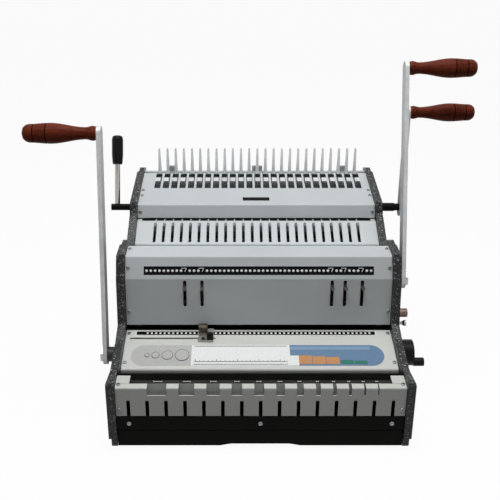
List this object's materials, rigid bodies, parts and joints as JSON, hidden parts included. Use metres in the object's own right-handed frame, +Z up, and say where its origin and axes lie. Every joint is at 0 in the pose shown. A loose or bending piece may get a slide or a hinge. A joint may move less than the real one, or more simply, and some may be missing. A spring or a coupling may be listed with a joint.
{
  "type": "comb and coil binding machine",
  "caption": "Desk binding machine with stepped silver covers, a coil punch, a comb punch and a comb opener, each worked by its own wooden-gripped lever.",
  "frame": {"origin": "on the bench, at the centre of the machine's footprint with its handles", "axes": "+Z up, -Y towards the operator, +X to the operator's right along the punch rows"},
  "size_m": [0.6848, 0.443, 0.4961],
  "materials": {
    "silver_sheet": "satin silver-grey powder coat",
    "black_hammertone": "hammered black paint with silver flecks",
    "black_sheet": "satin black paint",
    "steel": "ground",
    "chrome": "polished plating",
    "brass": "turned",
    "wood": "varnished red-brown",
    "rubber": "matte",
    "black_plastic": "satin"
  },
  "bodies": {
    "frame": {"left_side_plate": "black_hammertone", "right_side_plate": "black_hammertone", "tie_rods": "steel", "rubber_feet": "rubber", "base_pan": "black_sheet", "front_rail": "black_sheet", "rail_screws": "chrome", "gauge_tray": "silver_sheet", "trough_liner": "black_sheet", "coil_table": "silver_sheet", "coil_cover": "silver_sheet", "comb_cover": "silver_sheet", "opener_cover": "silver_sheet", "prong_bar": "steel", "comb_prongs": "steel", "prong_blocks": "steel", "rear_cover": "silver_sheet", "comb_table": "silver_sheet", "coil_die_plate": "steel", "coil_guide_plate": "steel", "comb_die_plate": "steel", "comb_guide_plate": "steel"},
    "coil_handle": {"coil_shaft": "steel", "coil_cams": "steel", "coil_arm": "steel", "coil_nut": "chrome", "coil_grip": "wood"},
    "comb_handle": {"comb_shaft": "steel", "comb_cams": "steel", "comb_arm": "steel", "comb_nut": "chrome", "comb_grip": "wood"},
    "opener_handle": {"opener_shaft": "black_sheet", "opener_arm": "steel", "opener_grip": "wood"},
    "hook_slide": {"hook_plate": "steel", "comb_hooks": "steel"},
    "coil_press": {"coil_ram": "steel", "coil_punches": "steel"},
    "comb_press": {"comb_ram": "steel", "comb_punches": "steel", "comb_punch_levers": "steel"},
    "stop_lever": {"stop_stub": "black_sheet", "stop_rod": "chrome", "stop_grip": "black_plastic"},
    "drawer": {"chip_drawer": "black_sheet"},
    "crank": {"lead_screw": "steel", "crank_wheel": "black_plastic", "crank_peg": "black_plastic"},
    "coil_guide": {"coil_edge_guide": "chrome", "guide_block": "brass", "guide_knob": "black_plastic"},
    "comb_guide": {"comb_edge_guide": "chrome"},
    "depth_adjuster": {"depth_knob": "brass"},
    "pull_pin": {"lock_pin": "chrome"},
    "pull_1": {"coil_pull_1": "chrome"},
    "pull_2": {"coil_pull_2": "chrome"},
    "pull_3": {"coil_pull_3": "chrome"},
    "pull_4": {"coil_pull_4": "chrome"},
    "pull_5": {"coil_pull_5": "chrome"}
  },
  "joints": [
    {"name": "coil_handle_swing", "type": "hinge", "parent": "frame", "child": "coil_handle", "pos_m": [-0.00985, -0.1145, 0.091], "axis": [1, 0, 0], "range_deg": [0, 90]},
    {"name": "coil_ram_stroke", "type": "slide", "parent": "frame", "child": "coil_press", "axis": [0, 0, -1], "range_m": [0, 0.012]},
    {"name": "comb_handle_swing", "type": "hinge", "parent": "frame", "child": "comb_handle", "pos_m": [-0.00985, -0.0255, 0.174], "axis": [1, 0, 0], "range_deg": [0, 90]},
    {"name": "comb_ram_stroke", "type": "slide", "parent": "frame", "child": "comb_press", "axis": [0, 0, -1], "range_m": [0, 0.007]},
    {"name": "opener_handle_swing", "type": "hinge", "parent": "frame", "child": "opener_handle", "pos_m": [-0.00985, 0.1075, 0.249], "axis": [1, 0, 0], "range_deg": [0, 90]},
    {"name": "hook_plate_slide", "type": "slide", "parent": "frame", "child": "hook_slide", "axis": [0, -0.9626, -0.271], "range_m": [0, 0.011]},
    {"name": "stop_lever_swing", "type": "hinge", "parent": "frame", "child": "stop_lever", "pos_m": [-0.00985, 0.1075, 0.249], "axis": [1, 0, 0], "range_deg": [-40, 40]},
    {"name": "drawer_slide", "type": "slide", "parent": "frame", "child": "drawer", "axis": [0, -1, 0], "range_m": [0, 0.2]},
    {"name": "crank_turn", "type": "hinge", "parent": "frame", "child": "crank", "pos_m": [-0.00985, -0.0945, 0.083], "axis": [1, 0, 0], "range_deg": [-1440, 0]},
    {"name": "coil_guide_slide", "type": "slide", "parent": "frame", "child": "coil_guide", "axis": [1, 0, 0], "range_m": [-0.09, 0]},
    {"name": "comb_guide_slide", "type": "slide", "parent": "frame", "child": "comb_guide", "axis": [1, 0, 0], "range_m": [-0.02, 0.02]},
    {"name": "depth_knob_turn", "type": "hinge", "parent": "frame", "child": "depth_adjuster", "pos_m": [-0.00985, -0.0785, 0.141], "axis": [1, 0, 0], "range_deg": [-180, 180]},
    {"name": "lock_pin_pull", "type": "slide", "parent": "frame", "child": "pull_pin", "axis": [1, 0, 0], "range_m": [0, 0.006], "stiffness_N_per_m": 400, "springref_m": -0.004},
    {"name": "coil_pull_1_out", "type": "slide", "parent": "coil_press", "child": "pull_1", "axis": [0, -1, 0], "range_m": [0, 0.006]},
    {"name": "coil_pull_2_out", "type": "slide", "parent": "coil_press", "child": "pull_2", "axis": [0, -1, 0], "range_m": [0, 0.006]},
    {"name": "coil_pull_3_out", "type": "slide", "parent": "coil_press", "child": "pull_3", "axis": [0, -1, 0], "range_m": [0, 0.006]},
    {"name": "coil_pull_4_out", "type": "slide", "parent": "coil_press", "child": "pull_4", "axis": [0, -1, 0], "range_m": [0, 0.006]},
    {"name": "coil_pull_5_out", "type": "slide", "parent": "coil_press", "child": "pull_5", "axis": [0, -1, 0], "range_m": [0, 0.006]}
  ],
  "couplings": [
    {"joint": "coil_ram_stroke", "follows": "coil_handle_swing", "m_per_rad": 0.0076394},
    {"joint": "comb_ram_stroke", "follows": "comb_handle_swing", "m_per_rad": 0.0044563},
    {"joint": "hook_plate_slide", "follows": "opener_handle_swing", "m_per_rad": 0.0070028},
    {"joint": "crank_turn", "follows": "coil_guide_slide", "rad_per_m": 279.25}
  ]
}
